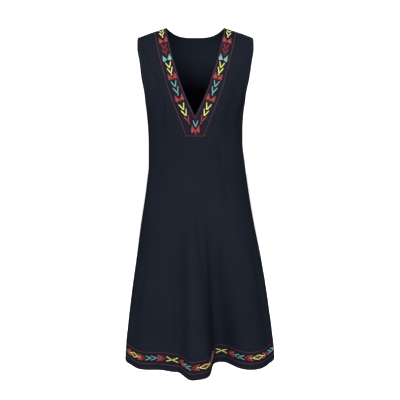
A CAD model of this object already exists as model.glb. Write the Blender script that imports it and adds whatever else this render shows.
import math

import bpy
import numpy as np
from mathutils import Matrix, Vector


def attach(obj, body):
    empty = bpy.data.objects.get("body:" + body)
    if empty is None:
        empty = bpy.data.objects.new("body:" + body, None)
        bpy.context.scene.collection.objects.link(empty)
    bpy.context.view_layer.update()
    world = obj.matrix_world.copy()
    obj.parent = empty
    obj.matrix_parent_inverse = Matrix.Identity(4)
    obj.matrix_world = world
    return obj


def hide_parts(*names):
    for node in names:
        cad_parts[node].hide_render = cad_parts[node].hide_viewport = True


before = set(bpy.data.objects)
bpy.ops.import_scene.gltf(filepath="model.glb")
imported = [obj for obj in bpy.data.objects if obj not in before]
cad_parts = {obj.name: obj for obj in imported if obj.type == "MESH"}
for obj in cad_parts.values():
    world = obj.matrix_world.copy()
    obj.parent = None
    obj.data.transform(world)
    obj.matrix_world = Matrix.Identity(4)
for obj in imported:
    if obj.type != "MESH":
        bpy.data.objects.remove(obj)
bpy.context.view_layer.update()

# ---- Navy cloth ----
# The dress is cut from one matte, closely woven navy crepe. The weave shows on both skins, and follows the
# grain of each panel. The wrong side has a fused backing and darkens down inside the dress.


class Wire:
    """A shader socket that Python's operators join to others through Math nodes."""

    def __init__(self, tree, socket):
        self.tree, self.socket = tree, socket

    def node(self, kind, settings=None, inputs=None, out=0):
        made = self.tree.nodes.new(kind)
        for key, value in (settings or {}).items():
            if key == "stops":
                ramp = made.color_ramp
                for i, (at, colour) in enumerate(value):
                    stop = ramp.elements[i] if i < 2 else ramp.elements.new(at)
                    stop.position, stop.color = at, colour
            else:
                setattr(made, key, value)
        for key, value in (inputs or {}).items():
            if isinstance(value, Wire):
                self.tree.links.new(value.socket, made.inputs[key])
            else:
                made.inputs[key].default_value = value
        return Wire(self.tree, made.outputs[out])

    def math(self, operation, a, b=0.0):
        """One Math node: b is left at nought where the operation takes one value."""
        return self.node("ShaderNodeMath", {"operation": operation}, {0: a, 1: b})

    def mix(self, share, a, b):
        return self.node("ShaderNodeMix", {"data_type": "RGBA"}, {0: share, 6: a, 7: b}, out=2)

    def __add__(self, other):
        return self.math("ADD", self, other)

    def __radd__(self, other):
        return self.math("ADD", other, self)

    def __mul__(self, other):
        return self.math("MULTIPLY", self, other)

    def __rmul__(self, other):
        return self.math("MULTIPLY", other, self)


def finish_of(name):
    """A new material, its Principled shader and a first wire into its tree."""
    material = bpy.data.materials.new(name)
    material.use_nodes = True
    shader = material.node_tree.nodes["Principled BSDF"]
    return material, shader, Wire(material.node_tree, shader.outputs[0])


def wired(shader, wire, socket):
    wire.tree.links.new(wire.socket, shader.inputs[socket])


YARNS_PER_M = 1500
navy_cloth, shader, start = finish_of("navy_cloth")
weave_at = start.node("ShaderNodeUVMap", {"uv_map": "grain"})
across = start.node("ShaderNodeSeparateXYZ", inputs={0: weave_at}, out=0)
down = start.node("ShaderNodeSeparateXYZ", inputs={0: weave_at}, out=1)
turn = math.pi * YARNS_PER_M  # one over and one under make a full wave
weave = start.math("SINE", across * turn) * start.math("SINE", down * turn)
slub = start.node("ShaderNodeTexNoise", inputs={"Vector": weave_at, "Scale": 420.0, "Detail": 2.0})
cloud = start.node("ShaderNodeTexNoise", inputs={"Vector": weave_at, "Scale": 7.0, "Detail": 3.0})
wrong_side = start.node("ShaderNodeAttribute", {"attribute_name": "wrong_side"}, out=2)
tone = start.node(
    "ShaderNodeValToRGB",
    {"stops": [(0.3, (0.0100, 0.0134, 0.0220, 1)), (0.7, (0.0130, 0.0170, 0.0272, 1))]},
    {0: cloud * 0.7 + slub * 0.3},
)
wired(shader, start.mix(wrong_side, tone, (0.0003, 0.0005, 0.0016, 1)), "Base Color")
wired(shader, 0.82 + slub * 0.14, "Roughness")
shader.inputs["Specular IOR Level"].default_value = 0.03
bump = start.node(
    "ShaderNodeBump", inputs={"Strength": 0.25, "Distance": 0.0003, "Height": weave * 0.5 + slub * 0.8}
)
wired(shader, bump, "Normal")

# ---- Front ----
# The front is one piece of navy cloth, cut from the shoulder seams to the hem, with the V neck down into it.
# It hangs from the shoulders over the bust, comes in at the waist and flares into folds. Sizes are in mm.
NECK_HALF = 86.7
TIP_X, TIP_DROP = 174, 30  # outer end of the shoulder seam
SHOULDER_ROUND, SHOULDER_CURVE = 62, 2.2  # depth over which front and back part, and how roundly
ARMPIT = -228
V_POINT = -258
HEM, HEM_SWING = -1033.5, 0.135  # level of the hem, and how far it drops for each mm that a fold reaches out
HEM_RISE, HEM_RISE_HALF = 30, 20.5  # how the hem lifts at the side seams, in mm and degrees
ROUNDNESS = 2.4  # 2 is an ellipse, more is squarer
SECTIONS = {
    "z": (0, -50, -100, -140, -175, -205, -228, -262, -300, -340, -407, -481, -596, -711, -828, -947, -1060),
    "left": (208, 203, 193, 181, 169, 158, 151.5, 147.5, 144.5, 143, 143.5, 151, 168.5, 185, 202, 216, 225),
    "right": (208, 203, 193, 181, 168, 157, 150, 146, 144, 144, 151.5, 162, 182, 206, 226, 242, 252),
    "front": (66, 77, 90, 100, 108, 113, 115.5, 116.5, 114, 110, 106, 107, 111, 114, 115, 114, 112),
    "back": (60, 75, 90, 98, 102, 103, 102.5, 99, 94, 89.5, 87, 95, 112, 122, 128, 133, 136),
}
V_EDGE = {"z": (0, -42, -79, -121, -162, -206, V_POINT), "x": (NECK_HALF, 77, 68, 55.4, 42, 24.8, 0)}
ARMHOLE = {
    "z": (-30, -60, -100, -150, -195, -228),
    "front": (174, 174, 168.5, 161, 152.5, 150),
    "back": (174, 174, 169.5, 162, 153.5, 150),
    "closer": (1.2, 1.8, 3, 1.2, 0.6, 0),  # how much nearer the centre line the wearer's right edges are
}
# Each fold has its bearing from the centre front, reach out at the hem, half width, flatness, lean sideways,
# upper end, and how far its bearing has turned there.
FOLDS = (
    (-66, 8, 8, 2, 0, -560, 0),
    (-42, 17.4, 13.9, 2, 0, -520, 0),
    (-14.8, 17, 9, 2, 0, -640, 0),
    (-0.5, 66.5, 10, 5, 14, -420, 0),
    (17.6, -50, 10.9, 2.2, 8, -420, -4.2),
    (43, 19.4, 14.8, 2, 0, -500, 0),
    (70, 8, 7, 2, 0, -600, 0),
    (112, 16, 8, 2, 3, -520, 0),
    (130, -26, 6.5, 2, 0, -440, 0),
    (148, 30, 9, 2.6, -6, -430, 0),
    (167, -34, 7, 2, 3, -400, 0),
    (186, 26, 9, 2.4, 5, -420, 0),
    (205, -20, 6, 2, 0, -470, 0),
    (222, 28, 9, 2.6, 7, -430, 0),
    (241, -18, 6, 2, 0, -520, 0),
)
FOLD_ONSET = 1.25  # above 1, a fold begins more gently
BUST = {"out": 12.5, "x": 74, "z": -240, "half_x": 52, "half_z": 64}
BUST_TROUGH = {"in": 4, "x": 97, "z": -262, "bow": 13, "half_x": 9, "half_z": 46}
RIPPLE = 0.55  # slight unevenness of worn cloth
CREASES = {  # paths in x and z, depth and half width of each soft trough
    "front": (
        (((-95, -206), (-92, -240), (-95, -272), (-106, -316)), 5.4, 4.6),
        (((-150, -104), (-129, -128), (-114, -155), (-108, -176), (-119, -204)), 3.4, 4.8),
        (((-158, -70), (-141, -96), (-136, -118)), 1.8, 6),
        (((149, -118), (132, -150), (119, -168)), 3.0, 5.5),
        (((122, -166), (121, -196), (123, -226)), 3.6, 9),
        (((135, -240), (130, -276), (134, -314)), 4.6, 5.2),
        (((118, -262), (121, -284), (118, -302)), 1.8, 5),
        (((56, -262), (58, -290)), 2.6, 4),
        (((61, -322), (71, -356), (76, -386), (78, -420)), 5.0, 4.8),
        (((2, -362), (1, -440), (-4, -520)), 2.4, 9),
        (((-60, -340), (-58, -396)), -1.8, 4),
        (((-38, -380), (-44, -470), (-46, -600)), 2.0, 8),
        (((-104, -392), (-116, -460), (-124, -560)), 2.2, 9),
        (((88, -420), (96, -520), (112, -640)), 2.2, 9),
        (((4, -480), (11, -620), (17, -690), (23, -790), (27, -870), (34, -960)), 8.5, 11),
        (((43, -640), (45, -740), (48, -860), (51, -930)), -3.4, 9),
        (((-44, -560), (-43, -700), (-44, -860), (-46, -970)), 3.2, 6.5),
        (((-26, -600), (-24, -740), (-22, -920)), -2.0, 7),
        (((-61, -740), (-60, -830), (-60, -900), (-60, -995)), 3.6, 4.0),
        (((73, -600), (73, -700), (74, -800), (76, -900)), 2.4, 3.8),
        (((-150, -700), (-172, -820), (-188, -960)), 4.0, 9),
        (((-118, -560), (-136, -710), (-150, -900)), 1.5, 12),
        (((170, -640), (194, -780), (216, -940)), 4.0, 9),
        (((112, -620), (128, -740), (138, -880)), 1.8, 10),
    ),
    "back": (
        (((-16, -332), (-58, -350), (-104, -346)), 4.4, 6),
        (((12, -352), (52, -372), (96, -366)), 3.8, 6),
        (((-30, -384), (-72, -398), (-112, -388)), 2.6, 7),
        (((28, -404), (60, -418), (90, -410)), 2.0, 6),
        (((150, -136), (128, -160), (112, -196)), 3.4, 6),
        (((-151, -124), (-130, -156), (-118, -200)), 3.0, 6),
        (((-11, -34), (-11, -110), (-10, -200)), -2.6, 6),
        (((-60, -120), (-54, -190), (-62, -250)), 1.8, 10),
        (((66, -130), (58, -200), (64, -262)), 1.6, 11),
        (((-96, -560), (-108, -700), (-120, -880)), 3.2, 8),
        (((22, -520), (26, -640), (24, -760)), 2.6, 7),
        (((120, -600), (140, -760), (152, -930)), 3.2, 9),
        (((-152, -620), (-168, -780), (-178, -900)), 2.6, 8),
    ),
}


def through(levels, values):
    """Smooth curve through a table's column, in cubic pieces that never overshoot its rows."""
    z, y = np.array(levels, float), np.array(values, float)
    slope = np.diff(y) / np.diff(z)
    before, after = slope[:-1], slope[1:]
    total = np.where(before + after == 0, 1, before + after)
    between = np.where(before * after <= 0, 0, 2 * before * after / total)
    tangent = np.concatenate([slope[:1], between, slope[-1:]])

    def at(level):
        level = np.asarray(level, float)
        i = np.clip(np.searchsorted(-z, -level, side="right") - 1, 0, len(z) - 2)
        width = z[i + 1] - z[i]
        t = np.clip((level - z[i]) / width, 0, 1)
        held = y[i] * (2 * t**3 - 3 * t**2 + 1) + y[i + 1] * (3 * t**2 - 2 * t**3)
        return held + width * (tangent[i] * (t**3 - 2 * t**2 + t) + tangent[i + 1] * (t**3 - t**2))

    return at


section = {key: through(SECTIONS["z"], SECTIONS[key]) for key in ("left", "right", "front", "back")}
v_edge = through(V_EDGE["z"], V_EDGE["x"])
armhole = {key: through(ARMHOLE["z"], ARMHOLE[key]) for key in ("front", "back", "closer")}
SLOPE = TIP_DROP / (TIP_X - NECK_HALF)


def armhole_at(face, z, side):
    return armhole[face](z) - (armhole["closer"](z) if side < 0 else 0)


def ridge(x):
    return (NECK_HALF - np.abs(x)) * SLOPE


def fold_share(degrees, fold):
    gap = (degrees - fold[0] + 540) % 360 - 180
    return np.exp(-(np.abs(gap / fold[2]) ** fold[3]))


def hem_level(bearing):
    degrees = np.degrees(bearing)
    swing = sum(fold[1] * fold_share(degrees, fold) for fold in FOLDS)
    from_seam = (np.abs((degrees + 180) % 360 - 180) - 90) / HEM_RISE_HALF
    return HEM - HEM_SWING * swing + HEM_RISE * np.exp(-(from_seam**2))


def crease_at(face, x, z):
    """Depth of the creases on one face at points of the cloth."""
    depth = np.zeros_like(x)
    for path, deep, half in CREASES[face]:
        path = np.array(path, float)
        steps = np.hypot(*np.diff(path, axis=0).T)
        run = np.concatenate([[0], np.cumsum(steps)])
        nearest, place = np.full(x.shape, 1e9), np.zeros(x.shape)
        for (x0, z0), (x1, z1), length, begun in zip(path[:-1], path[1:], steps, run):
            t = np.clip(((x - x0) * (x1 - x0) + (z - z0) * (z1 - z0)) / length**2, 0, 1)
            gap = np.hypot(x - x0 - t * (x1 - x0), z - z0 - t * (z1 - z0))
            place = np.where(gap < nearest, (begun + t * length) / run[-1], place)
            nearest = np.minimum(gap, nearest)
        depth += deep * np.exp(-((nearest / half) ** 2)) * np.sin(np.pi * np.clip(place, 0.02, 0.98)) ** 0.7
    return depth


def bust_at(x, z):
    """How far the cup pushes the front out, less the soft trough below its outer side."""
    across = np.abs(x)
    cup_x, cup_z = (across - BUST["x"]) / BUST["half_x"], (z - BUST["z"]) / BUST["half_z"]
    low = (z - BUST_TROUGH["z"]) / BUST_TROUGH["half_z"]
    aside = (across - BUST_TROUGH["x"] - BUST_TROUGH["bow"] * low**2) / BUST_TROUGH["half_x"]
    return BUST["out"] * np.exp(-(cup_x**2) - cup_z**2) - BUST_TROUGH["in"] * np.exp(-(aside**2) - low**4)


def worn(bearing, z):
    """Middle of the cloth at a bearing from the centre front (radians) and a level."""
    bearing, z = np.broadcast_arrays(np.asarray(bearing, float), np.asarray(z, float))
    side, ahead = np.sin(bearing), np.cos(bearing)
    width = np.where(side < 0, section["left"](z), section["right"](z))
    reach = np.where(ahead > 0, section["front"](z), section["back"](z))
    n = ROUNDNESS
    k = (np.abs(side) ** n + np.abs(ahead) ** n) ** (-1 / n)
    x, y = k * width * side, -k * reach * ahead
    out_x = np.sign(x) * (np.abs(x) / width) ** (n - 1) / width
    out_y = np.sign(y) * (np.abs(y) / reach) ** (n - 1) / reach
    size = np.hypot(out_x, out_y)
    degrees = np.degrees(bearing)
    out, lean = np.zeros_like(z), np.zeros_like(z)
    for fold in FOLDS:
        t = np.clip((fold[5] - z) / (fold[5] - HEM), 0, 1)
        share = (t * t * (3 - 2 * t)) ** FOLD_ONSET * fold_share(degrees - fold[6] * (1 - t), fold)
        out, lean = out + share * fold[1], lean + share * fold[4]
    facing = np.clip(np.abs(ahead) * 4, 0, 1)
    out = out - facing * np.where(ahead > 0, crease_at("front", x, z), crease_at("back", x, z))
    calm = np.clip((-z - 40) / 160, 0, 1) * np.minimum(1, np.abs(ahead) * 5)
    ripple = np.sin(7 * bearing + z / 74) * np.sin(z / 97 + 2 * bearing)
    ripple = ripple + 0.6 * np.sin(13 * bearing - z / 160)
    out = out + RIPPLE * calm * ripple
    bust = np.where(ahead > 0, bust_at(x, z) * np.minimum(1, np.abs(ahead) * 2), 0)
    below = np.clip((ridge(x) - z) / SHOULDER_ROUND, 0, 1)
    share = (1 - (1 - below) ** SHOULDER_CURVE) ** (1 / SHOULDER_CURVE)
    out_x, out_y = out_x / size, out_y / size
    return np.stack([x + out_x * out - out_y * lean, (y + out_y * out + out_x * lean - bust) * share, z], -1)


def unit(v):
    return v / np.maximum(np.linalg.norm(v, axis=-1, keepdims=True), 1e-12)


def outward(bearing, z):
    round_it = worn(bearing + 1e-3, z) - worn(bearing - 1e-3, z)
    down_it = worn(bearing, z - 0.4) - worn(bearing, z + 0.4)
    return unit(np.cross(down_it, round_it))


def bearing_of(x, z, side):
    """Bearing, from the nearer centre line, at which the section passes x."""
    width = np.where(side < 0, section["left"](z), section["right"](z))
    share = np.minimum(np.abs(x) / width, 1)
    return np.arctan2(share, (1 - share**ROUNDNESS) ** (1 / ROUNDNESS))


UPPER_ROWS, V_ROWS, SKIRT_ROWS = 44, 6, 104
TURN = {"neck": 26.0, "armhole": 9.0, "hem": 20.0}  # widths that the cloth is turned in
CLOTH, TURNED = 1.1, 0.8  # one layer, and what the turned-in layer adds inside
LIP = 0.42  # how far a rim rounds over, as a share of its thickness
DUSK_TOP, DUSK_RUN = -95, 95  # where the wrong side starts to darken, and over what depth
SEAM_SINK, SEAM_HALF = 0.75, 1.7  # how deep a sewn edge sinks, and over what width
TURN_CRISP, SHOULDER_ROWS = 14, 12  # how abruptly the turned-in layer ends, and rows near the shoulder seam
HEM_ROWS = (0.5, 1.5, 3.5, 19, 20, 21)  # extra rows, this far above the hem, for its rim and turned edge
EDGE_SHARES = (0.004, 0.011, 0.022, 0.036)
quarter = math.pi / 2


def near(count):
    """Shares from 0 to 1, evenly spaced, with a few more close to both ends."""
    close = np.array(EDGE_SHARES)
    return np.unique(np.concatenate([np.linspace(0, 1, count + 1), close, 1 - close]).round(6))


ROW_SHARE = (np.arange(UPPER_ROWS) / UPPER_ROWS) ** 1.6
V_SHARE = (ARMPIT - V_POINT) / (ARMPIT - HEM)
LOWER_SHARE = np.unique(
    np.concatenate([
        np.linspace(0, V_SHARE, V_ROWS + 1),
        np.linspace(V_SHARE, 1, SKIRT_ROWS + 1),
        1 - np.array(HEM_ROWS) / (ARMPIT - HEM),
    ]).round(6)
)
ROW_COUNT = UPPER_ROWS + len(LOWER_SHARE)


def edge_levels(side, face):
    """Levels at which the upper rows end on an armhole, spaced along its edge."""
    z = -TIP_DROP + (ARMPIT + TIP_DROP) * np.sin(quarter * np.linspace(0, 1, 400))
    turn = bearing_of(armhole_at(face, z, side), z, side)
    turn[-1] = quarter
    points = worn(side * turn if face == "front" else side * (math.pi - turn), z)
    run = np.concatenate([[0], np.cumsum(np.linalg.norm(np.diff(points, axis=0), axis=1))])
    return np.interp(run[-1] * (np.arange(UPPER_ROWS) / UPPER_ROWS) ** 1.2, run, z)


def spaced(place, shares):
    """Shares, row by row, at which the columns of a grid are spaced along the cloth and not by bearing."""
    fine = np.linspace(shares[0], shares[-1], 260)
    bearing, z = place(np.tile(fine, (ROW_COUNT, 1)))
    run = np.linalg.norm(np.diff(worn(bearing, z), axis=1), axis=-1)
    run = np.concatenate([np.zeros((ROW_COUNT, 1)), np.cumsum(run, axis=1)], axis=1)
    goal = (shares - shares[0]) / (shares[-1] - shares[0])
    return np.stack([np.interp(goal * row[-1], row, fine) for row in run])


def skirt_grid(side, c, inner, face):
    """Bearings and levels of the rows from the armpit to the hem."""
    rough = ARMPIT + (hem_level(0.0) - ARMPIT) * LOWER_SHARE
    fore = inner(rough)[:, None] + (quarter - inner(rough)[:, None]) * c
    bearing = side * (fore if face == "front" else math.pi - fore)
    return bearing, ARMPIT + (hem_level(bearing) - ARMPIT) * LOWER_SHARE[:, None]


def cloth_wall(name, parts, flips, dusk, joined=None):
    """Closed wall of cloth on one or two grids: two skins, with rims rounded over where the cloth ends.

    Each grid has its middle points, normals, grain and how much of a second layer is turned in behind it.
    dusk is how dark the wrong side grows below the neck. joined gives, for the second grid, the rows whose
    first column is the first grid's own.
    """
    points, normals, grain, turned, faces, count = [], [], [], [], [], 0
    first = None
    for grid, flip in zip(parts, flips):
        rows, columns = grid["turned"].shape
        index = np.arange(rows * columns).reshape(rows, columns) + count
        keep = np.ones((rows, columns), bool)
        if first is not None and joined is not None:
            keep[joined, 0] = False
            index[keep] = np.arange(keep.sum()) + count
            index[joined, 0] = first[joined, 0]
        first = index
        for store, key in ((points, "middle"), (normals, "normal"), (grain, "grain"), (turned, "turned")):
            store.append(grid[key][keep])
        count += int(keep.sum())
        a, b, c, d = index[:-1, :-1], index[1:, :-1], index[1:, 1:], index[:-1, 1:]
        quads = np.stack([a, d, c, b] if flip else [a, b, c, d], -1).reshape(-1, 4)
        faces.append(quads)
    points, normals, grain, turned = (np.concatenate(x) for x in (points, normals, grain, turned))
    faces = np.concatenate(faces)
    outer = points + normals * CLOTH / 2
    inner = points - normals * (CLOTH / 2 + TURNED * turned)[:, None]
    edges = np.concatenate([faces[:, [i, (i + 1) % 4]] for i in range(4)])
    _, back, uses = np.unique(np.sort(edges, axis=1), axis=0, return_inverse=True, return_counts=True)
    rim = edges[uses[back.ravel()] == 1]
    pull = np.zeros_like(points)
    away = unit(np.cross(points[rim[:, 1]] - points[rim[:, 0]], normals[rim[:, 0]]))
    np.add.at(pull, rim[:, 0], away)
    np.add.at(pull, rim[:, 1], away)
    ends = np.unique(rim)
    rim_of = np.full(count, -1)
    rim_of[ends] = np.arange(len(ends)) + 2 * count
    middle = (outer[ends] + inner[ends]) / 2
    thick = np.linalg.norm(outer[ends] - inner[ends], axis=1, keepdims=True)
    rounded = middle + unit(pull[ends]) * thick * LIP
    i, j = rim.T
    lips = [
        np.stack([i, rim_of[i], rim_of[j], j], -1),
        np.stack([rim_of[i], i + count, j + count, rim_of[j]], -1),
    ]
    mesh = bpy.data.meshes.new(name)
    every = np.concatenate([outer, inner, rounded]) * 0.001
    all_faces = np.concatenate([faces, faces[:, ::-1] + count, *lips])
    mesh.from_pydata(every.tolist(), [], all_faces.tolist())
    wrong = mesh.attributes.new("wrong_side", "FLOAT", "POINT")
    depth = dusk * np.clip((DUSK_TOP - points[:, 2]) / DUSK_RUN, 0, 1)
    wrong.data.foreach_set("value", np.concatenate([0 * depth, depth, 0.5 * depth[ends]]))
    layer = mesh.uv_layers.new(name="grain")
    corners = np.empty(len(mesh.loops), int)
    mesh.loops.foreach_get("vertex_index", corners)
    flat = np.concatenate([grain, grain, grain[ends]])[corners] * 0.001
    layer.data.foreach_set("uv", flat.ravel())
    mesh.shade_smooth()
    mesh.materials.append(navy_cloth)
    mesh.update()
    piece = bpy.data.objects.new(name, mesh)
    bpy.context.scene.collection.objects.link(piece)
    return piece


def laid_out(bearing, z, side, face, seams):
    """Points, normals, grain and turned-in layer of one half's grid. Row 0 is at the shoulder."""
    middle, normal = worn(bearing, z), outward(bearing, z)
    on_ridge = seams["ridge"]
    middle[0, on_ridge, 2] = ridge(middle[0, on_ridge, 0])
    middle[0, on_ridge, 1] = 0.02 if face == "back" else -0.02
    normal[0, on_ridge] = unit(np.array([side * SLOPE, 0, 1.0]))
    along = np.linalg.norm(np.diff(middle, axis=1), axis=-1)
    run = np.concatenate([np.zeros((len(z), 1)), np.cumsum(along, axis=1)], axis=1)
    total = run[:, -1:]
    rows = np.arange(len(z))[:, None]
    gap = np.where(rows < seams["neck_rows"], run / TURN["neck"], 1e9)
    gap = np.minimum(gap, np.where(rows <= UPPER_ROWS, (total - run) / TURN["armhole"], 1e9))
    gap = np.minimum(gap, (z - hem_level(bearing)) / TURN["hem"])
    if face == "back":
        drop = np.linalg.norm(middle - middle[:1], axis=-1)
        gap = np.minimum(gap, np.where(seams["ridge"][None] | (rows > UPPER_ROWS), 1e9, drop / TURN["neck"]))
    turned = np.clip((1 - gap) * TURN_CRISP, 0, 1)
    # Sewn edges sink a little into their seam.
    sink = np.where(rows > UPPER_ROWS, np.exp(-(((total - run) / SEAM_HALF) ** 2)), 0)
    if face == "back":
        sink = np.maximum(sink, np.exp(-((run / SEAM_HALF) ** 2)))
    top = np.linalg.norm(middle - middle[:1], axis=-1)
    at_shoulder = seams["ridge"][None] & (rows < SHOULDER_ROWS)
    sink = np.maximum(sink, np.where(at_shoulder, np.exp(-((top / SEAM_HALF) ** 2)), 0))
    middle = middle - normal * (SEAM_SINK * sink)[..., None]
    grain = np.stack([side * run, z], -1)
    return {"middle": middle, "normal": normal, "grain": grain, "turned": turned}


def front_half(side, shares):
    z_in = ARMPIT * ROW_SHARE
    z_out = edge_levels(side, "front")
    fore_in = bearing_of(v_edge(z_in), z_in, side)
    fore_out = bearing_of(armhole_at("front", z_out, side), z_out, side)

    def inner(level):
        return np.where(level > V_POINT + 0.5, bearing_of(v_edge(level), level, side), 0.0)

    def place(c):
        top, low = c[:UPPER_ROWS], c[UPPER_ROWS:]
        bearing = side * (fore_in[:, None] + (fore_out - fore_in)[:, None] * top)
        z = z_in[:, None] + (z_out - z_in)[:, None] * top
        low_bearing, low_z = skirt_grid(side, low, inner, "front")
        return np.concatenate([bearing, low_bearing]), np.concatenate([z, low_z])

    bearing, z = place(spaced(place, shares))
    seams = {"ridge": np.ones(len(shares), bool), "neck_rows": V_ROW}
    return laid_out(bearing, z, side, "front", seams)


V_ROW = UPPER_ROWS + V_ROWS
front_shares = near(104)
halves = [front_half(side, front_shares) for side in (-1, 1)]
below_v = np.arange(len(halves[0]["turned"])) >= V_ROW
front = cloth_wall("front_cloth", halves, (True, False), dusk=0.5, joined=below_v)
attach(front, "root")
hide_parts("front")

# ---- Back ----
# The back is two pieces of the same cloth, joined down the centre, with a shallow round neckline.
# Each runs from the centre-back seam to its side seam and is joined to the front at the shoulder.
BACK_DROP, BACK_CURVE = 28, 3.4  # how deep the neckline dips, and how flat its bottom is
NECK_SHARE = 0.44  # of the columns run down from the neckline, the rest from the shoulder seam


def back_half(side, shares):
    z_neck = ARMPIT * ROW_SHARE
    z_out = edge_levels(side, "back")
    fore_neck = bearing_of(NECK_HALF, z_neck, side)[:, None]
    fore_out = bearing_of(armhole_at("back", z_out, side), z_out, side)[:, None]

    def place(c):
        upper, low = c[:UPPER_ROWS], c[UPPER_ROWS:]
        neck = upper < NECK_SHARE
        x = NECK_HALF * upper / NECK_SHARE
        beyond = (upper - NECK_SHARE) / (1 - NECK_SHARE)
        top = -BACK_DROP * (1 - np.minimum(x / NECK_HALF, 1) ** BACK_CURVE)
        beside = z_neck[:, None] + (z_out - z_neck)[:, None] * beyond
        z = np.where(neck, top + (ARMPIT - top) * ROW_SHARE[:, None], beside)
        fore = np.where(neck, fore_neck * upper / NECK_SHARE, fore_neck + (fore_out - fore_neck) * beyond)
        low_bearing, low_z = skirt_grid(side, low, lambda level: 0.0 * level, "back")
        return np.concatenate([side * (math.pi - fore), low_bearing]), np.concatenate([z, low_z])

    at_neck = shares <= NECK_SHARE
    even = spaced(place, shares)
    inside = spaced(place, shares[at_neck]), spaced(place, shares[~at_neck | (shares == NECK_SHARE)])
    even[:UPPER_ROWS] = np.concatenate([inside[0], inside[1][:, 1:]], axis=1)[:UPPER_ROWS]
    bearing, z = place(even)
    seams = {"ridge": shares >= NECK_SHARE, "neck_rows": 0}
    return laid_out(bearing, z, side, "back", seams)


back_shares = np.unique(np.append(near(84), NECK_SHARE))
for name, side in (("back_left", 1), ("back_right", -1)):
    piece = cloth_wall(name + "_cloth", [back_half(side, back_shares)], (side > 0,), dusk=1.0)
    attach(piece, "root")
    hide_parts(name)

# ---- Embroidery threads ----
# Glossy embroidery cotton in six colours: four for the motifs, dark red for the lines, navy for topstitching.
# Each strand lies flat on the cloth, drawn tight at both ends, so that it bows up a little between them.


def thread_finish(name, light, dark):
    """Finish of one thread: its tone varies from strand to strand, with fine twist along it."""
    material, shader, start = finish_of(name)
    strand = start.node("ShaderNodeAttribute", {"attribute_name": "tone"}, out=2)
    place = start.node("ShaderNodeTexCoord", out=3)
    fleck = start.node("ShaderNodeTexNoise", inputs={"Vector": place, "Scale": 900.0, "Detail": 2.0})
    wired(shader, start.mix(strand * 0.6 + fleck * 0.4, (*dark, 1), (*light, 1)), "Base Color")
    wired(shader, 0.38 + fleck * 0.2, "Roughness")
    shader.inputs["Specular IOR Level"].default_value = 0.4
    twist = start.node("ShaderNodeBump", inputs={"Strength": 0.3, "Distance": 0.0002, "Height": fleck})
    wired(shader, twist, "Normal")
    return material


THREADS = {
    "yellow": thread_finish("yellow_thread", (0.96, 0.94, 0.36), (0.86, 0.78, 0.18)),
    "red": thread_finish("coral_red_thread", (0.50, 0.072, 0.066), (0.33, 0.027, 0.027)),
    "teal": thread_finish("teal_thread", (0.34, 0.59, 0.57), (0.16, 0.37, 0.36)),
    "crimson": thread_finish("crimson_thread", (0.27, 0.017, 0.019), (0.12, 0.008, 0.011)),
    "dark_red": thread_finish("dark_red_thread", (0.17, 0.020, 0.032), (0.085, 0.010, 0.018)),
    "navy": thread_finish("navy_thread", (0.016, 0.020, 0.032), (0.010, 0.012, 0.020)),
}


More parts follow.
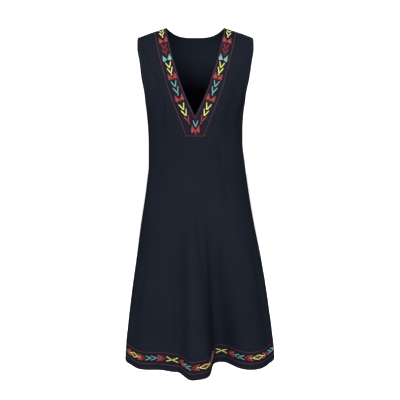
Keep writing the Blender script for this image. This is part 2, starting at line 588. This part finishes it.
def stitch_tree():
    """Lays one bent strand on every point of a mesh, along and out of the cloth by the point's attributes."""
    tree = bpy.data.node_groups.new("lay_stitches", "GeometryNodeTree")
    face = tree.interface
    face.new_socket("Geometry", in_out="INPUT", socket_type="NodeSocketGeometry")
    for label, kind, value in (
        ("Strand thickness", "NodeSocketFloat", 0.0008),
        ("Rise", "NodeSocketFloat", 0.9),
        ("Seed", "NodeSocketInt", 3),
    ):
        face.new_socket(label, in_out="INPUT", socket_type=kind).default_value = value
    face.new_socket("Thread", in_out="INPUT", socket_type="NodeSocketMaterial")
    face.new_socket("Geometry", in_out="OUTPUT", socket_type="NodeSocketGeometry")
    given = tree.nodes.new("NodeGroupInput")

    def node(kind, settings=None, inputs=None):
        made = tree.nodes.new(kind)
        for key, value in (settings or {}).items():
            setattr(made, key, value)
        for key, value in (inputs or {}).items():
            if isinstance(value, bpy.types.NodeSocket):
                tree.links.new(value, made.inputs[key])
            else:
                made.inputs[key].default_value = value
        return made

    def attribute(name, kind):
        return node("GeometryNodeInputNamedAttribute", {"data_type": kind}, {"Name": name}).outputs[0]

    peak = node("ShaderNodeCombineXYZ", inputs={"Z": given.outputs["Rise"]}).outputs[0]
    bend = node(
        "GeometryNodeCurveQuadraticBezier",
        inputs={"Resolution": 4, "Start": (-0.5, 0, -0.25), "Middle": peak, "End": (0.5, 0, -0.25)},
    )
    section_ring = node(
        "GeometryNodeCurvePrimitiveCircle", {"mode": "RADIUS"}, {"Resolution": 5, "Radius": 0.5}
    )
    strand = node(
        "GeometryNodeCurveToMesh",
        inputs={"Curve": bend.outputs[0], "Profile Curve": section_ring.outputs[0], "Fill Caps": True},
    )
    turned = node(
        "FunctionNodeAxesToRotation",
        {"primary_axis": "Z", "secondary_axis": "X"},
        {0: attribute("out", "FLOAT_VECTOR"), 1: attribute("along", "FLOAT_VECTOR")},
    )
    thick = given.outputs["Strand thickness"]
    size = node("ShaderNodeCombineXYZ", inputs={"X": attribute("length", "FLOAT"), "Y": thick, "Z": thick})
    laid = node(
        "GeometryNodeInstanceOnPoints",
        inputs={
            "Points": given.outputs["Geometry"],
            "Instance": strand.outputs[0],
            "Rotation": turned.outputs[0],
            "Scale": size.outputs[0],
        },
    )
    chance = node("FunctionNodeRandomValue", {"data_type": "FLOAT"}, {"Seed": given.outputs["Seed"]})
    toned = node(
        "GeometryNodeStoreNamedAttribute",
        {"data_type": "FLOAT", "domain": "INSTANCE"},
        {"Geometry": laid.outputs[0], "Name": "tone", "Value": chance.outputs[1]},
    )
    real = node("GeometryNodeRealizeInstances", inputs={"Geometry": toned.outputs[0]})
    smooth = node("GeometryNodeSetShadeSmooth", inputs={"Geometry": real.outputs[0]})
    dyed = node(
        "GeometryNodeSetMaterial", inputs={"Geometry": smooth.outputs[0], "Material": given.outputs["Thread"]}
    )
    done = tree.nodes.new("NodeGroupOutput")
    tree.links.new(dyed.outputs[0], done.inputs[0])
    return tree


STITCHES = stitch_tree()


def sew(name, rows, thread, thickness, rise=0.9):
    """Piece of stitches. rows holds each one's middle, way along, way out and length, in mm."""
    mesh = bpy.data.meshes.new(name + "_holes")
    mesh.from_pydata((rows[:, :3] * 0.001).tolist(), [], [])
    for label, part in (("along", rows[:, 3:6]), ("out", rows[:, 6:9])):
        mesh.attributes.new(label, "FLOAT_VECTOR", "POINT").data.foreach_set("vector", part.ravel())
    mesh.attributes.new("length", "FLOAT", "POINT").data.foreach_set("value", rows[:, 9] * 0.001)
    holder = bpy.data.objects.new(name + "_holes", mesh)
    bpy.context.scene.collection.objects.link(holder)
    layer = holder.modifiers.new("stitches", "NODES")
    layer.node_group = STITCHES
    given = {s.name: s.identifier for s in STITCHES.interface.items_tree if s.in_out == "INPUT"}
    layer[given["Strand thickness"]] = thickness * 0.001
    layer[given["Rise"]] = rise
    layer[given["Seed"]] = len(name)
    layer[given["Thread"]] = THREADS[thread]
    depsgraph = bpy.context.evaluated_depsgraph_get()
    sewn = bpy.data.meshes.new_from_object(holder.evaluated_get(depsgraph))
    sewn.name = name
    bpy.data.objects.remove(holder)
    piece = bpy.data.objects.new(name, sewn)
    bpy.context.scene.collection.objects.link(piece)
    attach(piece, "root")
    return piece


def on_cloth(bearing, z, lift):
    """Points on the outer skin, raised by lift, and the way out of the cloth there."""
    out = outward(bearing, z)
    return worn(bearing, z) + out * (CLOTH / 2 + lift), out


def rows_on(place, stitches, lift):
    """Stitches given along and across a band (middle, direction, length), laid on the cloth by place."""
    a, b, along, across, length = stitches.T
    bearing, z = place(a, b)
    points, out = on_cloth(bearing, z, lift)
    step = 0.5
    ahead, _ = on_cloth(*place(a + step * along, b + step * across), lift)
    behind, _ = on_cloth(*place(a - step * along, b - step * across), lift)
    return np.concatenate([points, unit(ahead - behind), out, length[:, None]], axis=1)


# ---- Motifs ----
# The folk motifs are nested chevrons that point along the band, a short bar at their point, a pair of leaves
# and a lozenge. Each stroke is filled with satin stitches laid across it.
SATIN_STEP, SATIN_SLANT = 0.78, 0.18  # from stitch to stitch, and how far each one leans
ON_CLOTH, OVER = 0.1, 0.15  # lift of the first layer of stitches and of bars sewn over it
FINE, BROAD = 1.8, 3.1  # strokes of a chevron
LEAF = ((0.0, 10.4), (20.6, 10.6), (15.0, 2.9), (8.4, 6.3))  # along and across, from its tip


def satin_bar(start, end, wide):
    start, end = np.array(start, float), np.array(end, float)
    length = np.linalg.norm(end - start)
    t = np.linspace(0, 1, max(4, int(length / SATIN_STEP)))
    middle = start + (end - start) * t[:, None]
    way = (end - start) / length
    way = np.array([-way[1], way[0]]) + SATIN_SLANT * way
    width = wide * (1 - 0.55 * np.abs(2 * t - 1) ** 7)
    return np.column_stack([middle, np.tile(way / np.linalg.norm(way), (len(t), 1)), width])


def satin_shape(corners):
    """Stitches across a closed outline, one row after another."""
    corners = np.array(corners, float)
    found = []
    for a in np.arange(corners[:, 0].min() + 0.3, corners[:, 0].max() - 0.1, SATIN_STEP):
        hits = []
        for (a0, b0), (a1, b1) in zip(corners, np.roll(corners, -1, axis=0)):
            if (a0 - a) * (a1 - a) < 0:
                hits.append(b0 + (b1 - b0) * (a - a0) / (a1 - a0))
        if len(hits) == 2:
            found.append((a, sum(hits) / 2, 0.06, 1.0, max(0.9, abs(hits[0] - hits[1]))))
    return np.array(found)


def chevron(point, arm=17.0, half=7.6, wide=FINE):
    return np.concatenate([
        satin_bar((point - arm, side * half), (point, side * 0.5), wide) for side in (-1, 1)
    ])


def bar_at(start, end, wide=2.0):
    return satin_bar((start, 0), (end, 0), wide)


def leaves(start, long=1.0, broad=1.0):
    shape = np.array(LEAF) * (long, broad)
    return np.concatenate([satin_shape([(start + a, side * b) for a, b in shape]) for side in (-1, 1)])


def lozenge(middle, long, broad):
    return satin_shape([(middle - long, 0.0), (middle, broad), (middle + long, 0.0), (middle, -broad)])


def turned_about(stitches, middle, way):
    """The same stitches, set off to a middle and pointing the other way where way is -1."""
    out = stitches.copy()
    out[:, 0] = middle + way * stitches[:, 0]
    out[:, 2] *= way
    return out


# ---- Neck band ----
# The V neck is bordered by two stem-stitched lines, one at the edge and one about 40 mm out, that close below
# the point of the V. Five pairs of chevrons run down each side, and one motif is sewn under the point.
MOTIF_LINE = {
    "z": (-2, -15, -40, -77, -118, -133, -173, -192, -218, -239, -257, -273, -300),
    "x": (103, 99.5, 94.0, 86.5, 75, 70.5, 58, 51, 42, 34, 26.5, 19.5, 9.0),
}
OUTER_LINE = {
    "z": (-12, -40, -82, -114, -147, -170, -225, -274, -316),
    "x": (121.5, 115, 105, 97, 88, 81.5, 61, 41.5, 26.5),
}
INNER_GAP, INNER_POINT = 3.2, 6.5  # from the neck's edge to the inner line, and below the V's point
OUTER_ENDS = -12.5, -316  # levels at which the outer line starts and ends
CLOSING_HALF, CLOSING_LEVEL = 27.5, -316.5  # the short line that joins the two outer ones
motif_x = through(MOTIF_LINE["z"], MOTIF_LINE["x"])
outer_x = through(OUTER_LINE["z"], OUTER_LINE["x"])


def front_place(x, z):
    side = np.where(x < 0, -1, 1)
    return side * bearing_of(x, z, side), z


def neck_place(side):
    """Place on the cloth of a point along the band from the shoulder seam and out from its motif line."""
    z = np.linspace(MOTIF_LINE["z"][0], MOTIF_LINE["z"][-1], 600)
    line = worn(*front_place(side * motif_x(z), z))
    run = np.concatenate([[0], np.cumsum(np.linalg.norm(np.diff(line, axis=0), axis=1))])

    def place(a, b):
        at = np.interp(a, run, z)
        bearing, _ = front_place(side * motif_x(at), at)
        middle, out = worn(bearing, at), outward(bearing, at)
        ahead = worn(*front_place(side * motif_x(at - 0.5), at - 0.5))
        across = unit(np.cross(out, ahead - middle)) * side
        point = middle + across * b[:, None]
        return front_place(point[:, 0], point[:, 2])

    return place


# Each row has two chevrons' points down the band, their arm and thread, then the leaves' start and thread.
NECK_MOTIFS = (
    (43.5, 61.5, 17.0, "yellow", 67.5, "red"),
    (106.5, 121.5, 15.0, "crimson", 125.0, "teal"),
    (165.4, 182.5, 17.0, "yellow", 182.5, "red"),
    (225.4, 245.5, 18.6, "teal", 251.0, "red"),
    (297.2, 316.5, 18.8, "yellow", None, None),
)
BAR_GAP, BAR_LONG = 1.5, 6.0  # the bar below the second chevron
HEART = {"from_tip": 17.5, "long": 4.2, "broad": 2.4}  # crimson lozenge between a pair of red leaves
LAST_CHEVRON, LAST_BAR = (334.5, 17.5, 7.0), (336, 344, 1.8)  # red, at the lower end of each side
UNDER = {"x": 1.0, "chevron": (289, 18, 6.8), "leaves": (283.5, 1.2, 0.98), "bar": (301, 312, 1.8)}
sewn = {key: [] for key in THREADS}
for side in (-1, 1):
    place = neck_place(side)
    for first, second, arm, thread, leaf_start, leaf_thread in NECK_MOTIFS:
        wide = BROAD if thread == "crimson" else FINE
        motif = np.concatenate([chevron(first, arm, wide=wide), chevron(second, arm, wide=wide)])
        sewn[thread].append(rows_on(place, motif, ON_CLOTH))
        if leaf_thread:
            sewn[thread].append(rows_on(place, bar_at(second + BAR_GAP, second + BAR_GAP + BAR_LONG), OVER))
            sewn[leaf_thread].append(rows_on(place, leaves(leaf_start), ON_CLOTH))
            if leaf_thread == "red":
                heart = lozenge(leaf_start + HEART["from_tip"], HEART["long"], HEART["broad"])
                sewn["crimson"].append(rows_on(place, heart, ON_CLOTH))
    sewn["red"].append(rows_on(place, chevron(*LAST_CHEVRON), ON_CLOTH))
    sewn["red"].append(rows_on(place, bar_at(*LAST_BAR), ON_CLOTH))


def under_v(a, b):
    return front_place(b + UNDER["x"], -a)


sewn["teal"].append(rows_on(under_v, chevron(*UNDER["chevron"]), ON_CLOTH))
sewn["red"].append(rows_on(under_v, leaves(*UNDER["leaves"]), ON_CLOTH))
sewn["red"].append(rows_on(under_v, bar_at(*UNDER["bar"]), ON_CLOTH))

# ---- Hem band ----
# The same motifs run all the way round, between two stem-stitched lines 20 and 56.5 mm above the hem.
# Chevrons point away from yellow lozenges and towards yellow crosses, so the row mirrors at each of them.
LOWER_LINE, UPPER_LINE = 20.0, 56.5
LOZENGE_BEARINGS = -51.8, 45.4  # two repeats across the front lie between them, and four go round the back
HALF_REPEAT = 126  # length that the table below is drawn to, from a lozenge to the next cross
HALF_MOTIFS = (  # point, arm, half breadth and stroke of each chevron, thread; then ends and stroke of a bar
    (18.2, 18.2, 7.0, 1.5, "yellow", (20, 26.5, 1.5)),
    (32.5, 14, 9.0, 2.9, "red", None),
    (42, 15, 8.4, 2.8, "crimson", None),
    (60.5, 16.5, 6.6, 1.6, "teal", None),
    (77, 16.5, 6.6, 1.6, "teal", (79, 85, 1.6)),
    (93.5, 14, 9.0, 2.9, "red", None),
    (103, 15, 8.4, 2.8, "crimson", None),
    (124.8, 17.5, 7.0, 1.5, "yellow", None),
)
HEM_HEART = 0, 7.5, 3  # crimson lozenge inside each yellow one: middle, half length, half breadth
ring = np.linspace(-math.pi, math.pi, 7201)
BAND_MIDDLE = (LOWER_LINE + UPPER_LINE) / 2
band = worn(ring, hem_level(ring) + BAND_MIDDLE)
band_run = np.concatenate([[0], np.cumsum(np.linalg.norm(np.diff(band, axis=0), axis=1))])
BAND_LENGTH = band_run[-1]


def hem_place(a, b):
    bearing = np.interp(a % BAND_LENGTH, band_run, ring)
    return bearing, hem_level(bearing) + BAND_MIDDLE + b


first, last = np.interp(np.radians(LOZENGE_BEARINGS), ring, band_run)
lozenges = [*np.linspace(first, last, 3), *np.linspace(last, first + BAND_LENGTH, 5)[1:-1]]
for i, middle in enumerate(lozenges):
    before = lozenges[i - 1] - (BAND_LENGTH if i == 0 else 0)
    after = lozenges[i + 1] if i + 1 < len(lozenges) else first + BAND_LENGTH
    for way, reach in ((-1, (middle - before) / 2), (1, (after - middle) / 2)):
        for point, arm, half, stroke, thread, bar in HALF_MOTIFS:
            layers = [(chevron(point, arm, half, stroke), ON_CLOTH)] + ([(bar_at(*bar), OVER)] if bar else [])
            for stitches, lift in layers:
                spread = turned_about(stitches, 0, way)
                spread[:, 0] = middle + spread[:, 0] * reach / HALF_REPEAT
                sewn[thread].append(rows_on(hem_place, spread, lift))
    sewn["crimson"].append(rows_on(hem_place, turned_about(lozenge(*HEM_HEART), middle, 1), ON_CLOTH))

MOTIF_THICK = 0.95
for thread in ("yellow", "red", "teal", "crimson"):
    sew(thread + "_motifs", np.concatenate(sewn[thread]), thread, MOTIF_THICK)

# ---- Border lines ----
# The lines along both bands are stem stitch in dark red thread. Its short slanted stitches each overlap the
# last, so that the line looks like a fine cord laid on the cloth.
STEM_STEP, STEM_LENGTH, STEM_THICK, STEM_RISE = 1.7, 3.1, 0.95, 0.7


def stem_rows(place, a, b, lift=0.25, length=STEM_LENGTH, step=STEM_STEP, slant=0.22):
    """Stitches spaced along a line of points that is given along and across a band."""
    dense = np.linspace(0, 1, 4000)
    t = np.linspace(0, 1, len(a))
    a, b = np.interp(dense, t, a), np.interp(dense, t, b)
    line = worn(*place(a, b))
    run = np.concatenate([[0], np.cumsum(np.linalg.norm(np.diff(line, axis=0), axis=1))])
    at = np.arange(step / 2, run[-1], step)
    a, b = np.interp(at, run, a), np.interp(at, run, b)
    points, out = on_cloth(*place(a, b), lift)
    way = unit(np.gradient(points, axis=0))
    way = unit(way + slant * np.cross(out, way))
    return np.concatenate([points, way, out, np.full((len(at), 1), length)], axis=1)


lines = []
z = np.linspace(-1, V_POINT, 120)
for side in (-1, 1):
    edge = side * (v_edge(z) + INNER_GAP / np.cos(np.arctan(np.abs(np.gradient(v_edge(z), z)))))
    join = np.append(edge, 0.0)
    lines.append(stem_rows(front_place, join, np.append(z, V_POINT - INNER_POINT)))
    z_outer = np.linspace(*OUTER_ENDS, 160)
    lines.append(stem_rows(front_place, side * outer_x(z_outer), z_outer))
closing = np.linspace(-CLOSING_HALF, CLOSING_HALF, 20)
lines.append(stem_rows(front_place, closing, np.full_like(closing, CLOSING_LEVEL)))
for above in (LOWER_LINE, UPPER_LINE):
    whole = np.linspace(0, BAND_LENGTH * 0.99999, 4000)
    lines.append(stem_rows(hem_place, whole, np.full_like(whole, above - BAND_MIDDLE)))
borders = sew("border_lines", np.concatenate(lines), "dark_red", STEM_THICK, STEM_RISE)

# ---- Topstitching ----
# The cloth is turned in at the armholes, and a row of navy machine stitches 7 mm from the edge holds it down.
# The thread matches the cloth, so the row shows only as a fine ridge.
TOP_GAP, TOP_LENGTH, TOP_STEP = 7.0, 2.5, 3.3
TOP_LIFT, TOP_THICK, TOP_RISE = 0.05, 0.6, 0.4
TURN_RADIUS = {"z": (-228, -195, -60), "mm": (34, 60, 150)}  # mm along the cloth for each radian of bearing
rows = []
for side in (-1, 1):
    for face in ("front", "back"):
        z = edge_levels(side, face)
        z = np.linspace(z[1], z[-1], 300)
        x = armhole_at(face, z, side)
        fore = bearing_of(x, z, side)
        fore = np.minimum(fore - TOP_GAP / np.interp(z, TURN_RADIUS["z"], TURN_RADIUS["mm"]), quarter - 0.1)
        bearing = side * (fore if face == "front" else math.pi - fore)
        rows.append(stem_rows(lambda a, b: (a, b), bearing, z, TOP_LIFT, TOP_LENGTH, TOP_STEP, 0.0))
topstitch = sew("armhole_topstitch", np.concatenate(rows), "navy", TOP_THICK, TOP_RISE)

# ---- Studio ----
# A plain pale floor lies well below the dress, with a white wall all round. A large soft lamp in front, weak
# fills at the sides and one behind light it evenly, and the camera looks slightly down at the front.


def stage_piece(name, corners, glow):
    mesh = bpy.data.meshes.new(name)
    mesh.from_pydata(corners, [], [tuple(range(len(corners)))])
    material, shader, _ = finish_of(name)
    shader.inputs["Base Color"].default_value = (0.9, 0.9, 0.9, 1)
    shader.inputs["Roughness"].default_value = 0.9
    shader.inputs["Emission Color"].default_value = (1, 1, 1, 1)
    shader.inputs["Emission Strength"].default_value = glow
    mesh.materials.append(material)
    piece = bpy.data.objects.new(name, mesh)
    bpy.context.scene.collection.objects.link(piece)
    piece.visible_diffuse = piece.visible_glossy = False


ROOM, FLOOR = 9, -1.55  # metres from the middle to the wall, and level of the floor
PANELS = 24  # sides of the wall
stage_piece("floor", [(ROOM * x, ROOM * y, FLOOR) for x, y in ((-1, -1), (1, -1), (1, 1), (-1, 1))], 0.85)
wall = [(ROOM * math.cos(a), ROOM * math.sin(a)) for a in np.linspace(0, 2 * math.pi, PANELS, endpoint=False)]
for i, (x0, y0) in enumerate(wall):
    x1, y1 = wall[(i + 1) % len(wall)]
    stage_piece(f"backdrop_{i}", [(x0, y0, -2), (x0, y0, 7), (x1, y1, 7), (x1, y1, -2)], 1.2)
world = bpy.data.worlds.new("studio")
world.use_nodes = True
sky = world.node_tree.nodes["Background"]
sky.inputs["Color"].default_value = (1, 1, 1, 1)
sky.inputs["Strength"].default_value = 0.14
bpy.context.scene.world = world


def lamp(name, place, aim, size, watts):
    light = bpy.data.lights.new(name, "AREA")
    light.shape, light.size, light.energy = "SQUARE", size, watts
    holder = bpy.data.objects.new(name, light)
    holder.location = place
    holder.rotation_euler = (Vector(aim) - Vector(place)).to_track_quat("-Z", "Y").to_euler()
    bpy.context.scene.collection.objects.link(holder)


lamp("key", (-0.42, -3.3, 0.6), (0, 0, -0.4), 1.9, 102)
lamp("fill_left", (-2.8, -1.8, 0.1), (0, 0, -0.4), 1.6, 24)
lamp("fill_right", (2.8, -2.1, 0.1), (0, 0, -0.4), 1.6, 36)
lamp("top", (0.2, 0.6, 2.4), (0, 0, -0.3), 1.6, 12)
lamp("behind", (0.9, 3.4, 0.9), (0, 0, -0.5), 1.8, 105)

camera = bpy.data.objects.new("camera", bpy.data.cameras.new("camera"))
camera.data.lens, camera.data.sensor_width = 79.3, 36
camera.location = (0.01428, -2.703, -0.1071)
camera.rotation_euler = (math.radians(90 - 8.78), 0, 0)
bpy.context.scene.collection.objects.link(camera)
bpy.context.scene.camera = camera
bpy.context.scene.view_settings.view_transform = "Standard"
bpy.context.scene.view_settings.look = "None"
